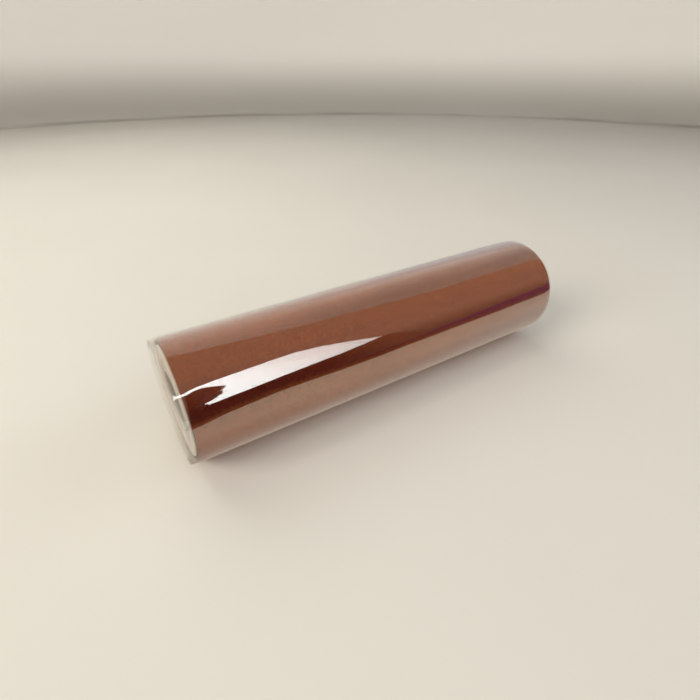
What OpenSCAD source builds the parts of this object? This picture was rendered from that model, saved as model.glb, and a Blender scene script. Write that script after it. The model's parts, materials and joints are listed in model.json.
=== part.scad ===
// Wide roll of adhesive-backed copper foil on a paper core, in a clear slip-off wrap.
// The roll lies on its side: its axis runs along X, Z is up, and the origin is the middle
// of the core's bore. The near end is at -X and the far end at +X.

/* [Foil web] */
// Width of the foil web
web_w = 304.8; // [150:0.1:610]
// Radius of the wound roll just past the foil's free end
roll_r = 39.9; // [38:0.1:60]
// Drawn thickness of one layer of foil with its adhesive
foil_t = 0.1; // [0.05:0.05:0.2]
// Drawn thickness of one layer of release paper
liner_t = 0.1; // [0.05:0.05:0.2]
// Angle of the foil's free end around the axis, counted from +Y towards +Z
tail_angle = 25; // [0:1:60]

/* [Core] */
// Diameter of the bore through the core
bore_d = 38.1; // [25:0.1:50.8]
// Thickness of the smooth paper ply that lines the bore
bore_ply_t = 0.5; // [0.3:0.1:1]
// Outer diameter of the inner core tube
tube_od = 54; // [52:0.5:64]
// Outer diameter of the whole core
core_od = 72; // [68:0.5:75]
// Thickness of the facing ply on the outside of the core
facing_t = 0.4; // [0.2:0.1:1]
// How far the core stands out past each edge of the web
core_proud = 0.6; // [0:0.1:3]

/* [Tapes] */
// Thickness of the tape that holds the first turn to the core
start_tape_t = 0.1; // [0.05:0.05:0.3]
// Angle of the start tape around the axis, counted from +Y towards +Z
start_angle = 200; // [0:1:359]
// Angle around the core that the start tape covers
start_tape_arc = 40; // [10:1:90]
// Thickness of the tail tapes above the highest point of the foil
tail_tape_t = 0.1; // [0.05:0.05:0.15]
// Width of each tail tape along the roll
tail_tape_w = 19; // [10:1:30]
// Angle around the roll that each tail tape covers
tail_tape_arc = 44; // [20:1:60]
// Distance from the middle of the roll to the outer tail tapes
tail_tape_x = 108; // [40:1:130]
// Thickness of the glue between each tail tape and the foil
glue_t = 0.02; // [0:0.01:0.05]

/* [Clear wrap] */
// Radial gap between the highest foil and the wrap
wrap_gap = 0.4; // [0.3:0.05:1]
// Drawn thickness of one turn of the clear film
film_t = 0.2; // [0.1:0.05:0.4]
// How far the film stands past the near edge of the web
near_overhang = 4.5; // [1:0.1:10]
// How far the film stands past the far edge of the web
far_overhang = 1.0; // [1:0.1:10]
// How far the two turns of film are out of line with each other
film_skew = 0.8; // [0:0.1:1]
// Width of the flat seam under the roll
seam_w = 12; // [8:1:20]
// Thickness of the seam at its thinnest, over the lowest line of the film
seam_t = 0.1; // [0.1:0.05:0.5]
// Number of flat strips that the top of the seam is made of, across its width
seam_strips = 8; // [4:1:12]

/* [Hidden] */
$fn = 720;
bore_r = bore_d / 2;
bore_ply_r = bore_r + bore_ply_t;
tube_r = tube_od / 2;
core_r = core_od / 2;
facing_r = core_r - facing_t;
core_l = web_w + 2 * core_proud;
turn_t = foil_t + liner_t;
crest_r = roll_r + turn_t;
tail_tape_r = crest_r + tail_tape_t;
film_r1 = crest_r + wrap_gap;
film_r2 = film_r1 + film_t;
film_r3 = film_r2 + film_t;
film_l = web_w + near_overhang + far_overhang - film_skew;
film_x = (far_overhang - near_overhang) / 2;
seam_arc = 2 * asin(seam_w / 2 / film_r3);
seam_step = seam_arc / seam_strips;
seam_top_r = film_r3 / cos(seam_step / 2);
seam_base_z = -film_r3 - seam_t;
reach = 2 * film_r3;

// A flat outline drawn in Y and Z, made solid along X and centred on the given X.
module along_x(length, centre = 0) {
    translate([centre - length / 2, 0, 0])
        rotate([90, 0, 90])
            linear_extrude(length)
                children();
}

// A plain round tube on the roll's axis.
module ring(inner_r, outer_r, length, centre = 0) {
    along_x(length, centre)
        difference() {
            circle(r = outer_r);
            circle(r = inner_r);
        }
}

// The half plane on one side of the line through the axis and the foil's free end.
module half_plane(side) {
    translate([-reach, side > 0 ? 0 : -reach])
        square([2 * reach, reach]);
}

// The outline of a wound web: two half circles whose radii differ by half a turn's
// thickness, so that the edge climbs by one full turn's thickness at the free end.
module wound_disc(radius) {
    rotate(tail_angle)
        union() {
            intersection() {
                circle(r = radius);
                half_plane(1);
            }
            translate([turn_t / 2, 0])
                intersection() {
                    circle(r = radius + turn_t / 2);
                    half_plane(-1);
                }
        }
}

// One layer of the last turn, between two wound outlines.
module wound_layer(inner_r, outer_r) {
    along_x(web_w)
        difference() {
            wound_disc(outer_r);
            wound_disc(inner_r);
        }
}

// A wedge of the given angle, centred on a direction around the axis.
module wedge(angle, arc) {
    half_w = reach * tan(arc / 2);
    rotate(angle)
        polygon([[0, 0], [reach, -half_w], [reach, half_w]]);
}

module start_tape_outline() {
    intersection() {
        difference() {
            circle(r = core_r + start_tape_t);
            circle(r = core_r);
        }
        wedge(start_angle, start_tape_arc);
    }
}

// A short tape across the free end, stepped underneath to fit the foil's edge.
module tail_tape(centre) {
    color("#e6dfc8")
        along_x(tail_tape_w, centre)
            intersection() {
                difference() {
                    circle(r = tail_tape_r);
                    wound_disc(roll_r + glue_t);
                }
                wedge(tail_angle, tail_tape_arc);
            }
}

module core_bore_ply() {
    color("#b9bab4")
        ring(bore_r, bore_ply_r, core_l);
}

module core_tube() {
    color("#d3d2cb")
        ring(bore_ply_r, tube_r, core_l);
}

module core_sleeve() {
    color("#e2d8c2")
        ring(tube_r, facing_r, core_l);
}

module core_facing_ply() {
    color("#efe9da")
        ring(facing_r, core_r, core_l);
}

module start_tape() {
    color("#d9c78f")
        along_x(web_w)
            start_tape_outline();
}

module foil_winding() {
    color("#8a5236")
        along_x(web_w)
            difference() {
                wound_disc(roll_r - turn_t);
                circle(r = core_r);
                start_tape_outline();
            }
}

module liner_last_turn() {
    color("#e9e2cf")
        wound_layer(roll_r - turn_t, roll_r - foil_t);
}

module foil_last_turn() {
    color("#9a5230")
        wound_layer(roll_r - foil_t, roll_r);
}

module tail_tape_near() {
    tail_tape(-tail_tape_x);
}

module tail_tape_mid() {
    tail_tape(0);
}

module tail_tape_far() {
    tail_tape(tail_tape_x);
}

module wrap_inner_turn() {
    color("#dfe6e8", 0.35)
        ring(film_r1, film_r2, film_l, film_x - film_skew / 2);
}

module wrap_outer_turn() {
    color("#e8eef0", 0.35)
        ring(film_r2, film_r3, film_l, film_x + film_skew / 2);
}

// The lapped edges of the film, pressed flat by the roll's own weight. The top is made of
// flat strips that each touch the film along one line.
module wrap_seam() {
    top = [for (i = [0:seam_strips]) seam_arc / 2 - i * seam_step];
    color("#d8dfe2", 0.6)
        along_x(film_l - film_skew, film_x)
            polygon(concat(
                [for (a = top) seam_top_r * [sin(a), -cos(a)]],
                [[-seam_w / 2, seam_base_z], [seam_w / 2, seam_base_z]]
            ));
}

core_bore_ply();
core_tube();
core_sleeve();
core_facing_ply();
start_tape();
foil_winding();
liner_last_turn();
foil_last_turn();
tail_tape_near();
tail_tape_mid();
tail_tape_far();
wrap_inner_turn();
wrap_outer_turn();
wrap_seam();
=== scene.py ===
"""A wide roll of copper foil on a paper core, lying on its side in a clear wrap."""

import json
import math
import random

import bmesh
import bpy
from mathutils import Euler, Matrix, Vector, noise


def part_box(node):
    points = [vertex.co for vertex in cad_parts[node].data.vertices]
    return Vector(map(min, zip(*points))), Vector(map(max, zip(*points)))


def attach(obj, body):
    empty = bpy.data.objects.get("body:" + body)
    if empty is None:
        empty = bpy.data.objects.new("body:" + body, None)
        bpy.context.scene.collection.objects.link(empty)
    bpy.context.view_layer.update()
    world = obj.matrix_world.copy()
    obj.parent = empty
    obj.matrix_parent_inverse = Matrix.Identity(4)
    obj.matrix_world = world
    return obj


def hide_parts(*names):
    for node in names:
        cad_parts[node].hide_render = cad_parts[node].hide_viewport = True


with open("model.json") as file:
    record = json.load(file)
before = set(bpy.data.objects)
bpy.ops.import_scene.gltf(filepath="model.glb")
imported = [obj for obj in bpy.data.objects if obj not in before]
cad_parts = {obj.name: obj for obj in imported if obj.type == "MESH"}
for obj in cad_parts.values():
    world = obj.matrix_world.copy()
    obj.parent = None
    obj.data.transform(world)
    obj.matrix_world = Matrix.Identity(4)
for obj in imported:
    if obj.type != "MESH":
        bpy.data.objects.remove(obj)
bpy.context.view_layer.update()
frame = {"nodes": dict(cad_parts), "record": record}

MM = 0.001
TURN = 2 * math.pi


# ---------------------------------------------------------------- sizes from the frame

def outer_radius(node):
    """The outer radius of a round node on the X axis, from its width in Y."""
    low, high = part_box(node)
    return (high.y - low.y) / 2


def ends(node):
    """The lowest and highest X of a node."""
    low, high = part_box(node)
    return low.x, high.x


NEAR_END, FAR_END = ends("foil_winding")
CORE_NEAR, CORE_FAR = ends("core_sleeve")
BORE_R = frame["record"]["mounts"][0]["dims"]["r_mm"] * MM
BORE_PLY_R = outer_radius("core_bore_ply")
TUBE_R = outer_radius("core_tube")
SLEEVE_R = outer_radius("core_sleeve")
CORE_R = outer_radius("core_facing_ply")
FILM_INNER_R = outer_radius("wrap_inner_turn")
FILM_OUTER_R = outer_radius("wrap_outer_turn")
FLOOR_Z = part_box("wrap_seam")[0].z

# The board: its plies, the groove between two of them, and how uneven their cut ends are
PLY_T = 0.5 * MM
PLY_GROOVE = 0.12 * MM
PLY_UNEVEN = 0.08 * MM
PLY_SLOPE = 0.02 * MM
PLY_ROUND = 0.22
CUT_ROUGHNESS = 0.03 * MM
CUT_GRAIN = 9

# The lining of the bore: one strip of paper wound as a helix, painted pale near both ends as painted
# light falling into the mouths
LINING_W = 62 * MM
LINING_GAP = 0.35 * MM
LINING_CLEARANCE = 0.05 * MM
MOUTH_PAINTED_LIGHT = 2.6 * MM

# The web: one turn of foil and release paper, the foil alone, and the wander of its edges
WEB_T = 0.108 * MM
FOIL_T = 0.042 * MM
WEB_GAP = 0.012 * MM
WEB_WANDER = 0.06 * MM
WEB_START_GAP = 0.12 * MM
WEB_END_GAP = 0.3 * MM
PAPER_RECESS = 0.1 * MM

# The film: its thickness and waves, its rims, and the gloss of one face seen straight on
FILM_T = 0.1 * MM
FILM_WAVE = 0.035 * MM
LONG_WAVE = Vector((22.0, 1.6, 1.6))
SHORT_WAVE = Vector((70.0, 3.5, 3.5))
NEAR_TUCK, NEAR_TUCK_L = 0.95 * MM, 8.5 * MM
FAR_TUCK, FAR_TUCK_L = 0.45 * MM, 9.0 * MM
RIM_RAGGED, RIM_RAGGED_L = 0.25 * MM, 3.6 * MM
FACE_ON_GLOSS = 0.048


# ---------------------------------------------------------------- mesh helpers

def make_piece(name, verts, faces, body, material):
    """A smooth mesh object that rides on a body and takes the material that it is given."""
    mesh = bpy.data.meshes.new(name)
    mesh.from_pydata(verts, [], faces)
    mesh.validate()
    mesh.materials.append(material)
    mesh.shade_smooth()
    piece = bpy.data.objects.new(name, mesh)
    bpy.context.scene.collection.objects.link(piece)
    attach(piece, body)
    return piece


def around(x, radius, angle):
    """A point at a radius and an angle round the X axis, counted from +Y towards +Z."""
    return (x, radius * math.cos(angle), radius * math.sin(angle))


def loop_faces(rows, columns, close_rows=True):
    """The faces of a grid of points whose rows are rings and which may close from last row to first."""
    faces = []
    for i in range(rows if close_rows else rows - 1):
        for j in range(columns):
            a, b = i * columns + j, i * columns + (j + 1) % columns
            c, d = (i + 1) % rows * columns + (j + 1) % columns, (i + 1) % rows * columns + j
            faces.append((a, b, c, d))
    return faces


def sharpen(piece, degrees):
    """Marks edges sharper than an angle, so that rims stay crisp on a smooth mesh."""
    mesh = bmesh.new()
    mesh.from_mesh(piece.data)
    bmesh.ops.recalc_face_normals(mesh, faces=mesh.faces)
    for edge in mesh.edges:
        if len(edge.link_faces) == 2 and edge.calc_face_angle() > math.radians(degrees):
            edge.smooth = False
    mesh.to_mesh(piece.data)
    mesh.free()


# ---------------------------------------------------------------- material helpers

class Nodes:
    """A short way to build a node material."""

    def __init__(self, name):
        self.material = bpy.data.materials.new(name)
        self.material.use_nodes = True
        self.tree = self.material.node_tree
        self.tree.nodes.clear()
        self.output = self.add("ShaderNodeOutputMaterial")
        self.coords = self.add("ShaderNodeTexCoord")

    def add(self, kind, **settings):
        node = self.tree.nodes.new(kind)
        for name, value in settings.items():
            setattr(node, name, value)
        return node

    def link(self, source, target):
        self.tree.links.new(source, target)

    def surface(self, shader):
        self.link(shader.outputs[0], self.output.inputs["Surface"])
        return self.material

    def stretched(self, scale):
        """Object coordinates scaled by a vector."""
        node = self.add("ShaderNodeMapping")
        node.inputs["Scale"].default_value = scale
        self.link(self.coords.outputs["Object"], node.inputs["Vector"])
        return node.outputs["Vector"]

    def noise(self, scale, detail=4.0, rough=0.5, vector=None):
        node = self.add("ShaderNodeTexNoise")
        node.inputs["Scale"].default_value = scale
        node.inputs["Detail"].default_value = detail
        node.inputs["Roughness"].default_value = rough
        self.link(vector or self.coords.outputs["Object"], node.inputs["Vector"])
        return node.outputs["Fac"]

    def ramp(self, factor, *stops):
        """A colour ramp of (position, colour) stops."""
        node = self.add("ShaderNodeValToRGB")
        elements = node.color_ramp.elements
        while len(elements) < len(stops):
            elements.new(0.5)
        for element, (position, colour) in zip(elements, stops):
            element.position = position
            element.color = (*colour, 1)
        self.link(factor, node.inputs["Fac"])
        return node.outputs["Color"]

    def span(self, factor, low, high):
        """A factor spread from 0..1 to low..high."""
        node = self.add("ShaderNodeMapRange")
        node.inputs["To Min"].default_value = low
        node.inputs["To Max"].default_value = high
        self.link(factor, node.inputs["Value"])
        return node.outputs["Result"]

    def blend(self, factor, linked, plain):
        """A linked colour that gives way to a plain one as a factor goes from 0 to 1."""
        node = self.add("ShaderNodeMix", data_type="RGBA")
        first, second = (socket for socket in node.inputs if socket.type == "RGBA")
        self.link(factor, node.inputs["Factor"])
        self.link(linked, first)
        second.default_value = (*plain, 1)
        return next(socket for socket in node.outputs if socket.type == "RGBA")

    def rise(self, value, start, end, top=1.0):
        """A soft rise from 0 to a top value while another value goes from start to end."""
        node = self.add("ShaderNodeMapRange", interpolation_type="SMOOTHSTEP")
        node.inputs["From Min"].default_value = start
        node.inputs["From Max"].default_value = end
        node.inputs["To Max"].default_value = top
        self.link(value, node.inputs["Value"])
        return node.outputs["Result"]

    def axis(self, name):
        """One of the object coordinates."""
        node = self.add("ShaderNodeSeparateXYZ")
        self.link(self.coords.outputs["Object"], node.inputs["Vector"])
        return node.outputs[name]

    def bump(self, height, strength, distance):
        node = self.add("ShaderNodeBump")
        node.inputs["Strength"].default_value = strength
        node.inputs["Distance"].default_value = distance
        self.link(height, node.inputs["Height"])
        return node.outputs["Normal"]

    def principled(self, **values):
        node = self.add("ShaderNodeBsdfPrincipled")
        for name, value in values.items():
            node.inputs[name.replace("_", " ")].default_value = value
        return node


def paper_material(name, dark, light, fibre=900.0, bump=0.35):
    """Paper or board: mottled, with fine fibres."""
    n = Nodes(name)
    cloudy = n.noise(160.0, 5.0, 0.6)
    shader = n.principled(Roughness=0.86)
    n.link(n.ramp(cloudy, (0.3, dark), (0.7, light)), shader.inputs["Base Color"])
    fibres = n.noise(fibre, 6.0, 0.7)
    n.link(n.bump(fibres, bump, 0.2 * MM), shader.inputs["Normal"])
    return n.surface(shader)


def bore_material():
    """The paper that lines the bore: greyer inside, painted pale at its two mouths, which is painted
    light falling into them.
    """
    n = Nodes("bore_paper")
    shader = n.principled(Roughness=0.86)
    inside = n.ramp(n.noise(160.0, 5.0, 0.6), (0.3, (0.42, 0.41, 0.38)), (0.7, (0.53, 0.52, 0.49)))
    from_middle = n.add("ShaderNodeMath", operation="ABSOLUTE")
    n.link(n.axis("X"), from_middle.inputs[0])
    # The pale band at each mouth is painted light: the light that falls into the mouth, painted onto the
    # paper
    mouth_painted_light = n.rise(from_middle.outputs["Value"], CORE_FAR - MOUTH_PAINTED_LIGHT, CORE_FAR)
    n.link(n.blend(mouth_painted_light, inside, (0.88, 0.83, 0.75)), shader.inputs["Base Color"])
    n.link(n.bump(n.noise(700.0, 6.0, 0.7), 0.2, 0.2 * MM), shader.inputs["Normal"])
    return n.surface(shader)


def foil_material():
    """Copper foil: a warm brown metal with a fine, sparkling grain."""
    n = Nodes("copper_foil")
    shader = n.principled(Metallic=1.0)
    broad = n.noise(14.0, 3.0, 0.55, n.stretched((0.35, 1.0, 1.0)))
    grain = n.noise(700.0, 3.0, 0.75)
    mix = n.add("ShaderNodeMix", data_type="FLOAT")
    mix.inputs["Factor"].default_value = 0.7
    n.link(broad, mix.inputs["A"])
    n.link(grain, mix.inputs["B"])
    colour = n.ramp(
        mix.outputs["Result"],
        (0.40, (0.38, 0.111, 0.033)),
        (0.50, (0.52, 0.165, 0.052)),
        (0.60, (0.66, 0.230, 0.082)),
    )
    n.link(colour, shader.inputs["Base Color"])
    n.link(n.span(grain, 0.17, 0.29), shader.inputs["Roughness"])
    n.link(n.bump(grain, 0.6, 0.06 * MM), shader.inputs["Normal"])
    return n.surface(shader)


def foil_edge_material():
    """The slit edge of the foil: brighter where it was cut, dull between."""
    n = Nodes("foil_edge")
    shader = n.principled(Metallic=0.7)
    smear = n.noise(400.0, 4.0, 0.6)
    colour = n.ramp(smear, (0.35, (0.13, 0.042, 0.020)), (0.65, (0.34, 0.13, 0.066)))
    n.link(colour, shader.inputs["Base Color"])
    n.link(n.span(smear, 0.45, 0.7), shader.inputs["Roughness"])
    return n.surface(shader)


def film_material():
    """Thin clear film: see-through, with a gloss on each face that grows as the view slants."""
    n = Nodes("wrap_film")
    clear = n.add("ShaderNodeBsdfTransparent")
    clear.inputs["Color"].default_value = (0.985, 0.985, 0.98, 1)
    gloss = n.add("ShaderNodeBsdfGlossy")
    gloss.inputs["Color"].default_value = (1, 1, 1, 1)
    gloss.inputs["Roughness"].default_value = 0.03
    n.link(n.bump(n.noise(380.0, 2.0, 0.5), 1.0, 0.012 * MM), gloss.inputs["Normal"])
    slant = n.add("ShaderNodeLayerWeight")
    slant.inputs["Blend"].default_value = 0.5
    steep = n.add("ShaderNodeMath", operation="POWER")
    n.link(slant.outputs["Facing"], steep.inputs[0])
    steep.inputs[1].default_value = 5.0
    mix = n.add("ShaderNodeMixShader")
    n.link(n.span(steep.outputs["Value"], FACE_ON_GLOSS, 1.0), mix.inputs["Fac"])
    n.link(clear.outputs["BSDF"], mix.inputs[1])
    n.link(gloss.outputs["BSDF"], mix.inputs[2])
    return n.surface(mix)


def tape_material():
    """Semi-matte paper tape with fine crepe lines."""
    n = Nodes("tail_tape")
    shader = n.principled(Roughness=0.55)
    crepe = n.noise(500.0, 3.0, 0.6, n.stretched((0.25, 1.0, 1.0)))
    colour = n.ramp(crepe, (0.3, (0.62, 0.54, 0.36)), (0.7, (0.78, 0.71, 0.52)))
    n.link(colour, shader.inputs["Base Color"])
    n.link(n.bump(crepe, 0.4, 0.1 * MM), shader.inputs["Normal"])
    return n.surface(shader)


def floor_material():
    """A plain pale table top, faintly mottled."""
    n = Nodes("floor")
    shader = n.principled(Roughness=0.8)
    cloudy = n.noise(3.0, 3.0, 0.5)
    colour = n.ramp(cloudy, (0.3, (0.77, 0.74, 0.69)), (0.7, (0.80, 0.77, 0.72)))
    n.link(colour, shader.inputs["Base Color"])
    return n.surface(shader)


def backdrop_material():
    """The finish of the floor, with a glow that grows over its lowest part and keeps it pale."""
    n = Nodes("backdrop")
    shader = n.principled(Base_Color=(0.785, 0.755, 0.705, 1), Roughness=0.8)
    shader.inputs["Emission Color"].default_value = (1.0, 0.94, 0.83, 1)
    glow = n.rise(n.axis("Z"), FLOOR_Z, FLOOR_Z + BACKDROP_GLOW_H, BACKDROP_GLOW)
    n.link(glow, shader.inputs["Emission Strength"])
    return n.surface(shader)


def glow_material(name, colour, direction=None, reach=None, far_colour=None, strength=1.0):
    """An emitter for a card. Over a reach along a direction, its colour can run to another one."""
    n = Nodes(name)
    shader = n.add("ShaderNodeEmission")
    shader.inputs["Color"].default_value = (*colour, 1)
    shader.inputs["Strength"].default_value = strength
    if direction:
        along = n.add("ShaderNodeVectorMath", operation="DOT_PRODUCT")
        along.inputs[1].default_value = direction
        n.link(n.coords.outputs["Object"], along.inputs[0])
        fade = n.add("ShaderNodeMapRange")
        fade.inputs["From Min"].default_value, fade.inputs["From Max"].default_value = reach
        n.link(along.outputs["Value"], fade.inputs["Value"])
        run = n.ramp(fade.outputs["Result"], (0.0, colour), (1.0, far_colour))
        n.link(run, shader.inputs["Color"])
    return n.surface(shader)


def see_through(material):
    """Makes a card's emitter clear as well, so that what is behind it still shows."""
    tree = material.node_tree
    output = next(node for node in tree.nodes if node.type == "OUTPUT_MATERIAL")
    emitter = output.inputs["Surface"].links[0].from_socket
    both = tree.nodes.new("ShaderNodeAddShader")
    clear = tree.nodes.new("ShaderNodeBsdfTransparent")
    tree.links.new(emitter, both.inputs[0])
    tree.links.new(clear.outputs["BSDF"], both.inputs[1])
    tree.links.new(both.outputs["Shader"], output.inputs["Surface"])
    return material


# ---------------------------------------------------------------- the paper core

def ply_profile(inner_r, outer_r, depths):
    """One cut end of a wound paper tube: (depth, radius) points with a groove between plies."""
    points = []
    count = round((outer_r - inner_r) / PLY_T)
    step = (outer_r - inner_r) / count
    for k in range(count):
        start = inner_r + k * step
        depth = depths.uniform(0.0, PLY_UNEVEN)
        points += [
            (depth + PLY_GROOVE, start),
            (depth, start + PLY_ROUND * step),
            (depth + PLY_SLOPE, start + (1 - PLY_ROUND) * step),
        ]
    points.append((PLY_GROOVE, outer_r))
    return points


def ply_tube(name, node, inner_r, outer_r, seed, material):
    """A spiral-wound paper tube with its plies showing at both cut ends."""
    depths = random.Random(seed)
    near = [(CORE_NEAR + d, r) for d, r in ply_profile(inner_r, outer_r, depths)]
    far = [(CORE_FAR - d, r) for d, r in reversed(ply_profile(inner_r, outer_r, depths))]
    profile = near + far
    segments = 192
    verts = []
    for k in range(segments):
        angle = TURN * k / segments
        across, up = CUT_GRAIN * math.cos(angle), CUT_GRAIN * math.sin(angle)
        for x, r in profile:
            cut = CUT_ROUGHNESS * noise.noise(Vector((across, up, r / MM)))
            side = 1 if x < 0 else -1
            verts.append(around(x + side * abs(cut), r, angle))
    faces = loop_faces(segments, len(profile))
    piece = make_piece(name, verts, faces, "roll", material)
    sharpen(piece, 50)
    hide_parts(node)


def bore_strip(material):
    """The bore's lining: a helix that starts and ends past the core and is cut off at both ends."""
    lead = LINING_W + LINING_GAP
    inner_r, outer_r = BORE_R, BORE_PLY_R - LINING_CLEARANCE
    segments = 96
    turns = (CORE_FAR - CORE_NEAR) / lead + 2
    rows = round(turns * segments)
    start_x = CORE_NEAR - lead
    corners = [(0.0, inner_r), (LINING_W, inner_r), (LINING_W, outer_r), (0.0, outer_r)]
    verts = []
    for i in range(rows + 1):
        angle = TURN * i / segments
        x = start_x + lead * i / segments
        verts += [around(x + dx, r, angle) for dx, r in corners]
    faces = loop_faces(rows + 1, 4, close_rows=False)
    faces += [(3, 2, 1, 0), tuple(4 * rows + k for k in range(4))]
    piece = make_piece("bore_lining_strip", verts, faces, "roll", material)
    mesh = bmesh.new()
    mesh.from_mesh(piece.data)
    for x, side in ((CORE_NEAR, 1), (CORE_FAR, -1)):
        geometry = mesh.verts[:] + mesh.edges[:] + mesh.faces[:]
        cut = bmesh.ops.bisect_plane(
            mesh, geom=geometry, plane_co=(x, 0, 0), plane_no=(side, 0, 0), clear_inner=True
        )
        edges = [e for e in cut["geom_cut"] if isinstance(e, bmesh.types.BMEdge)]
        bmesh.ops.holes_fill(mesh, edges=edges, sides=0)
    mesh.to_mesh(piece.data)
    mesh.free()
    sharpen(piece, 40)
    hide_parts("core_bore_ply")


# ---------------------------------------------------------------- the wound web

def web_ribbon(name, inset, thickness, recess, seed, material):
    """One layer of the web, wound as a true spiral from the core to the last turn."""
    start_r = CORE_R + WEB_START_GAP
    end_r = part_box("liner_last_turn")[1].z - WEB_END_GAP
    turns = int((end_r - start_r) / WEB_T)
    segments = 120
    drift = random.Random(seed)
    shifts = [drift.uniform(-WEB_WANDER, WEB_WANDER) for _ in range(turns + 2)]
    verts = []
    rows = turns * segments
    for i in range(rows + 1):
        angle = TURN * i / segments
        turn, part = divmod(i / segments, 1)
        shift = shifts[int(turn)] * (1 - part) + shifts[int(turn) + 1] * part
        radius = start_r + WEB_T * i / segments + inset
        near = NEAR_END + recess + WEB_WANDER + shift
        far = FAR_END - recess - WEB_WANDER + shift
        verts += [
            around(near, radius, angle),
            around(near, radius + thickness, angle),
            around(far, radius + thickness, angle),
            around(far, radius, angle),
        ]
    faces = loop_faces(rows + 1, 4, close_rows=False)
    faces += [(3, 2, 1, 0), tuple(4 * rows + k for k in range(4))]
    piece = make_piece(name, verts, faces, "roll", material)
    sharpen(piece, 40)
    return piece


# ---------------------------------------------------------------- the clear wrap

def film_turn(name, node, outer_r, seed, material):
    """One turn of the clear film: slightly wavy, its rims a little uneven and drawn in."""
    low_x, high_x = ends(node)
    shift = Vector((seed * 11.3, seed * 7.1, seed * 3.7))
    segments, lengths, rim_rows = 256, 160, 12
    rim_l = FAR_TUCK_L
    rim = [rim_l * (k / rim_rows) ** 1.5 for k in range(rim_rows)]
    plain = high_x - low_x - 2 * rim_l
    stations = [low_x + step for step in rim]
    stations += [low_x + rim_l + plain * k / lengths for k in range(lengths + 1)]
    stations += [high_x - step for step in reversed(rim)]

    def radius_at(x, angle):
        """The film's outer surface: long soft waves and a tuck at each rim."""
        place = Vector((x, math.cos(angle), math.sin(angle)))
        wave = noise.noise(place * LONG_WAVE + shift)
        wave += 0.4 * noise.noise(place * SHORT_WAVE - shift)
        tuck = NEAR_TUCK * max(0.0, 1 - (x - low_x) / NEAR_TUCK_L) ** 1.8
        tuck += FAR_TUCK * max(0.0, 1 - (high_x - x) / FAR_TUCK_L) ** 2
        return outer_r - FILM_WAVE + FILM_WAVE * 0.7 * wave - tuck

    def row(x, inset):
        points = []
        for k in range(segments):
            angle = TURN * k / segments
            edge = min(x - low_x, high_x - x) / RIM_RAGGED_L
            ragged = RIM_RAGGED * max(0.0, 1 - edge)
            ragged *= noise.noise(Vector((4 * math.cos(angle), 4 * math.sin(angle), seed + x * 9)))
            side = 1 if x < 0 else -1
            points.append(around(x + side * abs(ragged), radius_at(x, angle) - inset, angle))
        return points

    verts = []
    for x in stations:
        verts += row(x, 0.0)
    for x in reversed(stations):
        verts += row(x, FILM_T)
    faces = loop_faces(2 * len(stations), segments)
    piece = make_piece(name, verts, faces, "wrap", material)
    sharpen(piece, 60)
    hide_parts(node)
    return piece


# ---------------------------------------------------------------- camera, floor and light

CAMERA_FROM_NEAR_END = Vector((-0.600, -5.764, 4.331))
CAMERA_TILT = 33.5
CAMERA_TURN = 32.8
CAMERA_LENS = 22.9
CAMERA_SENSOR = 36.0

# The studio sweep: the flat table top, then the bend and the top of each wall
FLAT_R = 1.9
WALL_BEND_R, WALL_TOP = 0.8, 1.7
BACKDROP_BEND_R, BACKDROP_TOP = 0.75, 5.0
BACKDROP_GLOW, BACKDROP_GLOW_H = 0.36, 0.25

# Where the gloss cards stand, and how bright the window is
CEILING_Z = 0.9
BACK_Y = 1.6
RIGHT_X, LEFT_X = 1.7, -1.5
FAR_SHADE_X = 2.4
WINDOW_Y = -1.0
ROOM_Y = -1.3
CARD_SPACING = 20 * MM
SILL_SPACING = 4 * MM
TABLE_CARD_LIFT = 0.6 * MM
TABLE_END_LIFT = 1.0 * MM
WINDOW_POWER = 5.5


def place_camera():
    """The camera looks down on the roll; its place is counted from the near end in radii of the wrap."""
    data = bpy.data.cameras.new("camera")
    data.sensor_width = CAMERA_SENSOR
    data.lens = CAMERA_LENS
    camera = bpy.data.objects.new("camera", data)
    bpy.context.scene.collection.objects.link(camera)
    camera.location = Vector((NEAR_END, 0, 0)) + CAMERA_FROM_NEAR_END * FILM_OUTER_R
    camera.rotation_euler = Euler((math.radians(90 - CAMERA_TILT), 0, math.radians(-CAMERA_TURN)))
    bpy.context.scene.camera = camera


def stage_mesh(name, verts, faces, material):
    """A stage piece: floor, backdrop or card."""
    mesh = bpy.data.meshes.new(name)
    mesh.from_pydata(verts, [], faces)
    mesh.materials.append(material)
    piece = bpy.data.objects.new(name, mesh)
    bpy.context.scene.collection.objects.link(piece)
    return piece


def gloss_card(name, corners, material):
    """A flat card that shows only in glossy surfaces, as a photographer's card does."""
    card = stage_mesh(name, corners, [tuple(range(len(corners)))], material)
    card.visible_camera = False
    card.visible_diffuse = False
    card.visible_shadow = False
    return card


def disc_rings(name, profile, material, centre=None):
    """A round stage surface from (radius, height) points, closed by a centre point if one is given."""
    segments = 96
    verts = [] if centre is None else [centre]
    first = len(verts)
    for radius, height in profile:
        for k in range(segments):
            angle = TURN * k / segments
            verts.append((radius * math.cos(angle), radius * math.sin(angle), FLOOR_Z + height))
    faces = [(0, 1 + k, 1 + (k + 1) % segments) for k in range(segments)] if first else []
    for i in range(len(profile) - 1):
        for k in range(segments):
            a, b = first + i * segments + k, first + i * segments + (k + 1) % segments
            faces.append((a, a + segments, b + segments, b))
    piece = stage_mesh(name, verts, faces, material)
    piece.data.shade_smooth()
    return piece


def sweep_profile(bend_r, wall_top):
    """The (radius, height) points of a wall that rises out of the table top in a soft bend."""
    steps = 16
    points = []
    for k in range(steps + 1):
        angle = math.pi / 2 * k / steps
        points.append((FLAT_R + bend_r * math.sin(angle), bend_r * (1 - math.cos(angle))))
    return points + [(FLAT_R + bend_r, wall_top)]


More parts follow.
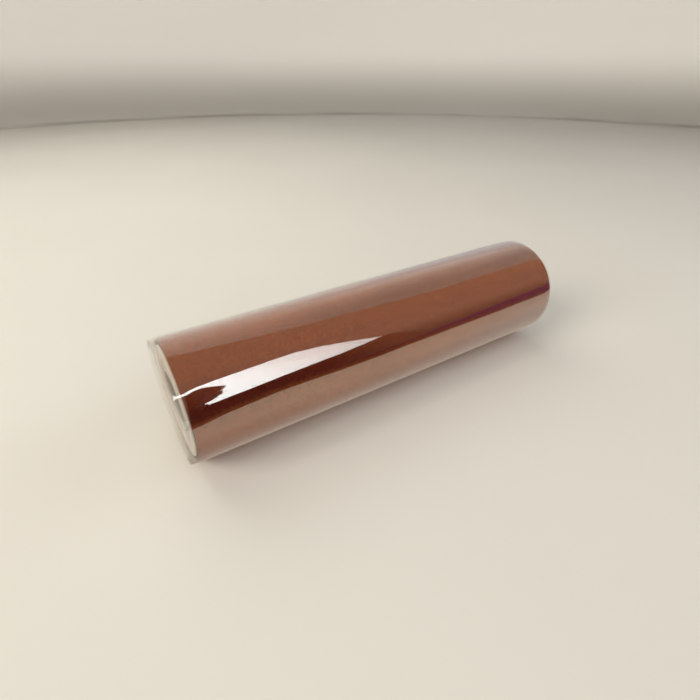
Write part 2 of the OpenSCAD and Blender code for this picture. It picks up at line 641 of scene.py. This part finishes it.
def studio_sweep(material):
    """The table top, the wall that bounces light round it, and the pale backdrop seen behind."""
    floor = [(0.05, 0.0), (0.4, 0.0), (0.9, 0.0), (1.4, 0.0), (FLAT_R, 0.0)]
    disc_rings("floor", floor, material, centre=(0.0, 0.0, FLOOR_Z))
    wall = disc_rings("bounce_wall", sweep_profile(WALL_BEND_R, WALL_TOP), material)
    wall.visible_camera = False
    wall.visible_glossy = False
    wall.visible_shadow = False
    rise = sweep_profile(BACKDROP_BEND_R, BACKDROP_TOP)
    backdrop = disc_rings("backdrop", rise, backdrop_material())
    backdrop.visible_diffuse = False
    backdrop.visible_glossy = False
    backdrop.visible_shadow = False


def level(z, outline):
    """An outline of (x, y) points, laid flat at a height."""
    return [(x, y, z) for x, y in outline]


def facing_y(y, outline):
    """An outline of (x, z) points, stood up across the Y axis."""
    return [(x, y, z) for x, z in outline]


def facing_x(x, outline):
    """An outline of (y, z) points, stood up across the X axis."""
    return [(x, y, z) for y, z in outline]


def pale_cards():
    """The pale ceiling, the pale walls behind and beside the roll, and the pale table before it, whose
    card is darker and warmer near the roll: painted shade and a painted warm bounce from the roll, seen
    only in reflections.
    """
    ceiling = [
        (-1.6, 0.95), (-0.05, 0.34), (0.16, 0.135), (0.29, 0.045), (0.43, -0.02), (0.78, -0.16),
        (2.6, -0.16), (2.6, 3.0), (-1.6, 3.0),
    ]
    ceiling_glow = glow_material(
        "ceiling_glow", (0.45, 0.43, 0.395), (-0.16, 0.95, 0.0), (0.0, 0.9), (0.77, 0.72, 0.66)
    )
    gloss_card("ceiling_card", level(CEILING_Z, ceiling), ceiling_glow)

    pale_glow = glow_material(
        "pale_glow", (0.80, 0.74, 0.665), (1.0, 0.0, 0.0), (0.3, 1.3), (0.60, 0.57, 0.555)
    )
    back = [(-1.75, FLOOR_Z), (1.75, FLOOR_Z), (1.75, CEILING_Z), (-1.75, CEILING_Z)]
    gloss_card("back_card", facing_y(BACK_Y, back), pale_glow)
    right = [(-0.16, FLOOR_Z), (1.65, FLOOR_Z), (1.65, CEILING_Z), (-0.16, CEILING_Z)]
    gloss_card("side_card", facing_x(RIGHT_X, right), pale_glow)
    left = [(-0.6, FLOOR_Z), (1.65, FLOOR_Z), (1.65, CEILING_Z), (-0.6, CEILING_Z)]
    gloss_card("left_card", facing_x(LEFT_X, left), pale_glow)

    table = [(-0.35, -0.014), (1.9, -0.014), (1.9, -0.6), (-0.35, -0.6)]
    # Darker and warmer near the roll: the roll's painted shadow and painted warm bounce on the table,
    # seen only in reflections
    table_glow_painted_shade = glow_material(
        "table_glow_painted_shade", (0.42, 0.32, 0.25), (0.0, -1.0, 0.0), (0.02, 0.085), (0.60, 0.65, 0.60)
    )
    gloss_card("table_card", level(FLOOR_Z + TABLE_CARD_LIFT, table), table_glow_painted_shade)


def far_shade_card():
    """The olive dark beyond the far end."""
    far_shade = [
        (-0.15, FLOOR_Z), (-1.2, FLOOR_Z), (-1.2, 0.55), (-0.95, 0.95), (-0.75, 1.22), (-0.15, 1.35),
    ]
    far_shade_glow = glow_material("far_shade_glow", (0.10, 0.085, 0.05))
    gloss_card("far_shade", facing_x(FAR_SHADE_X, far_shade), far_shade_glow)


def window_cards(film_pieces):
    """The window, which only the film mirrors, and the dark shapes in front of it and below it.

    The window's low left point and the shade's right edge make the fork of the highlight. The
    narrow arm to the left makes the thin streak that runs to the near rim, and its flare the spot there.
    """
    window = [
        (0.0, 0.225), (0.12, 0.255), (0.24, 0.30), (0.47, 0.365), (0.62, 0.45), (0.555, 0.74),
        (0.52, 0.98), (0.455, 1.14), (0.35, 1.14), (0.10, 1.075), (-0.03, 0.975), (-0.30, 0.915),
        (-0.50, 0.915), (-0.66, 1.03), (-0.72, 0.97), (-0.72, 0.80), (-0.66, 0.72), (-0.50, 0.825),
        (-0.03, 0.78),
    ]
    window_glow = glow_material(
        "window_glow", (0.88, 0.95, 0.96), (1.0, 0.0, 0.0), (0.1, 0.62), (0.385, 0.40, 0.395),
        WINDOW_POWER,
    )
    window_card = gloss_card("window_card", facing_y(WINDOW_Y, window), see_through(window_glow))
    film_only = bpy.data.collections.new("film_only")
    for piece in film_pieces:
        film_only.objects.link(piece)
    window_card.light_linking.receiver_collection = film_only

    camera_shade = [
        (-0.25, 0.78), (-0.035, 0.83), (0.025, 0.89), (0.06, 0.815), (0.085, 0.635),
        (0.06, 0.54), (0.06, 0.465), (0.03, 0.355), (-0.005, 0.285), (-0.25, 0.27),
    ]
    dark_glow = glow_material("dark_glow", (0.11, 0.026, 0.024))
    gloss_card("camera_shade", facing_y(WINDOW_Y + CARD_SPACING, camera_shade), dark_glow)

    under_window = [
        (-0.25, FLOOR_Z), (0.75, FLOOR_Z), (0.66, 0.44), (0.60, 0.46), (0.47, 0.39), (0.30, 0.345),
        (-0.02, 0.275), (-0.25, 0.29),
    ]
    under_window_glow = glow_material(
        "under_window_glow", (0.095, 0.024, 0.024), (1.0, 0.0, 0.0), (0.36, 0.62), (0.25, 0.12, 0.075)
    )
    gloss_card("under_window_card", facing_y(WINDOW_Y - SILL_SPACING, under_window), under_window_glow)


def room_cards():
    """The dark room beyond the table's front edge."""
    table_edge = [
        (-0.20, -0.17), (-0.13, -0.18), (-0.10, -0.24), (-0.01, -0.34), (0.015, -0.32), (0.05, -0.25),
        (0.09, -0.235), (0.14, -0.255), (0.30, -0.25), (0.47, -0.28), (1.8, -0.30),
        (1.8, -1.5), (-0.30, -1.5),
    ]
    table_end_glow = glow_material(
        "table_end_glow", (0.095, 0.024, 0.024), (1.0, 0.0, 0.0), (0.2, 0.45), (0.15, 0.05, 0.10)
    )
    gloss_card("table_end", level(FLOOR_Z + TABLE_END_LIFT, table_edge), table_end_glow)

    room = [(-0.9, FLOOR_Z), (3.4, FLOOR_Z), (3.4, 2.2), (-0.9, 2.2)]
    room_glow = glow_material(
        "room_glow", (0.20, 0.13, 0.085), (0.0, 0.0, 1.0), (0.0, 0.7), (0.43, 0.30, 0.23)
    )
    gloss_card("room_card", facing_y(ROOM_Y, room), room_glow)
    low_room = [
        (0.78, FLOOR_Z), (0.80, -0.035), (1.40, 0.12), (1.76, 0.185), (3.2, 0.33), (3.2, FLOOR_Z),
    ]
    low_room_glow = glow_material("low_room_glow", (0.19, 0.06, 0.17))
    gloss_card("low_room_card", facing_y(ROOM_Y + CARD_SPACING, low_room), low_room_glow)


def world_light():
    """An even, dim, warm room that shows only in glossy surfaces."""
    world = bpy.data.worlds.new("room")
    world.use_nodes = True
    background = world.node_tree.nodes["Background"]
    background.inputs["Color"].default_value = (0.48, 0.315, 0.22, 1)
    background.inputs["Strength"].default_value = 1.0
    bpy.context.scene.world = world
    world.cycles_visibility.diffuse = False


def area_light(name, location, size, power, colour):
    """A soft square light aimed at the middle of the roll."""
    data = bpy.data.lights.new(name, "AREA")
    data.shape = "SQUARE"
    data.size = size
    data.energy = power
    data.color = colour
    light = bpy.data.objects.new(name, data)
    bpy.context.scene.collection.objects.link(light)
    light.location = location
    light.rotation_euler = (-Vector(location)).to_track_quat("-Z", "Y").to_euler()
    light.visible_camera = False
    light.visible_glossy = False


# ---------------------------------------------------------------- build

place_camera()

bore_paper = bore_material()
tube_board = paper_material("tube_board", (0.44, 0.42, 0.40), (0.53, 0.51, 0.49))
sleeve_board = paper_material("sleeve_board", (0.55, 0.47, 0.405), (0.64, 0.555, 0.49))
facing_paper = paper_material("facing_paper", (0.74, 0.71, 0.62), (0.82, 0.79, 0.71), 700.0, 0.2)
liner_paper = paper_material("liner_paper", (0.70, 0.64, 0.52), (0.80, 0.75, 0.64), 700.0, 0.2)
start_tape = paper_material("start_tape_paper", (0.60, 0.50, 0.28), (0.70, 0.60, 0.36))
copper = foil_material()
copper_edge = foil_edge_material()
film = film_material()
tape = tape_material()

bore_strip(bore_paper)
ply_tube("core_tube_plies", "core_tube", BORE_PLY_R, TUBE_R, 3, tube_board)
ply_tube("core_sleeve_plies", "core_sleeve", TUBE_R, SLEEVE_R, 5, sleeve_board)

copper_web = web_ribbon("copper_web", 0.0, FOIL_T, 0.0, 7, copper_edge)
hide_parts("foil_winding")
paper_t = WEB_T - FOIL_T - WEB_GAP
web_ribbon("release_paper_web", FOIL_T, paper_t, PAPER_RECESS, 7, liner_paper)

film_pieces = [
    film_turn("film_inner_turn", "wrap_inner_turn", FILM_INNER_R, 1, film),
    film_turn("film_outer_turn", "wrap_outer_turn", FILM_OUTER_R, 2, film),
    frame["nodes"]["wrap_seam"],
]

# Clear film this thin casts next to no shadow
for piece in film_pieces:
    piece.visible_shadow = False

for node, material in (
    ("core_facing_ply", facing_paper),
    ("start_tape", start_tape),
    ("liner_last_turn", liner_paper),
    ("foil_last_turn", copper),
    ("tail_tape_near", tape),
    ("tail_tape_mid", tape),
    ("tail_tape_far", tape),
    ("wrap_seam", film),
):
    mesh = frame["nodes"][node].data
    mesh.materials.clear()
    mesh.materials.append(material)

studio_sweep(floor_material())
pale_cards()
far_shade_card()
window_cards(film_pieces)
room_cards()
world_light()
area_light("left_light", (-1.6, -0.1, 1.1), 1.0, 24.5, (1.0, 0.93, 0.82))
area_light("top_light", (-0.1, 0.6, 1.1), 1.2, 5.6, (0.98, 0.98, 0.87))
area_light("back_light", (-0.3, 1.3, 1.1), 1.2, 4.7, (0.98, 0.98, 0.87))
area_light("front_light", (0.2, -1.2, 1.0), 1.0, 4.9, (0.98, 0.96, 0.95))
area_light("fill_light", (1.2, -0.6, 1.0), 1.0, 5.4, (0.93, 0.94, 1.0))

# Light has to get through the stacked faces of the film, also at grazing angles
bpy.context.scene.cycles.transparent_max_bounces = 32
bpy.context.scene.cycles.glossy_bounces = 12
bpy.context.scene.cycles.max_bounces = 24
bpy.context.scene.view_settings.view_transform = "Standard"
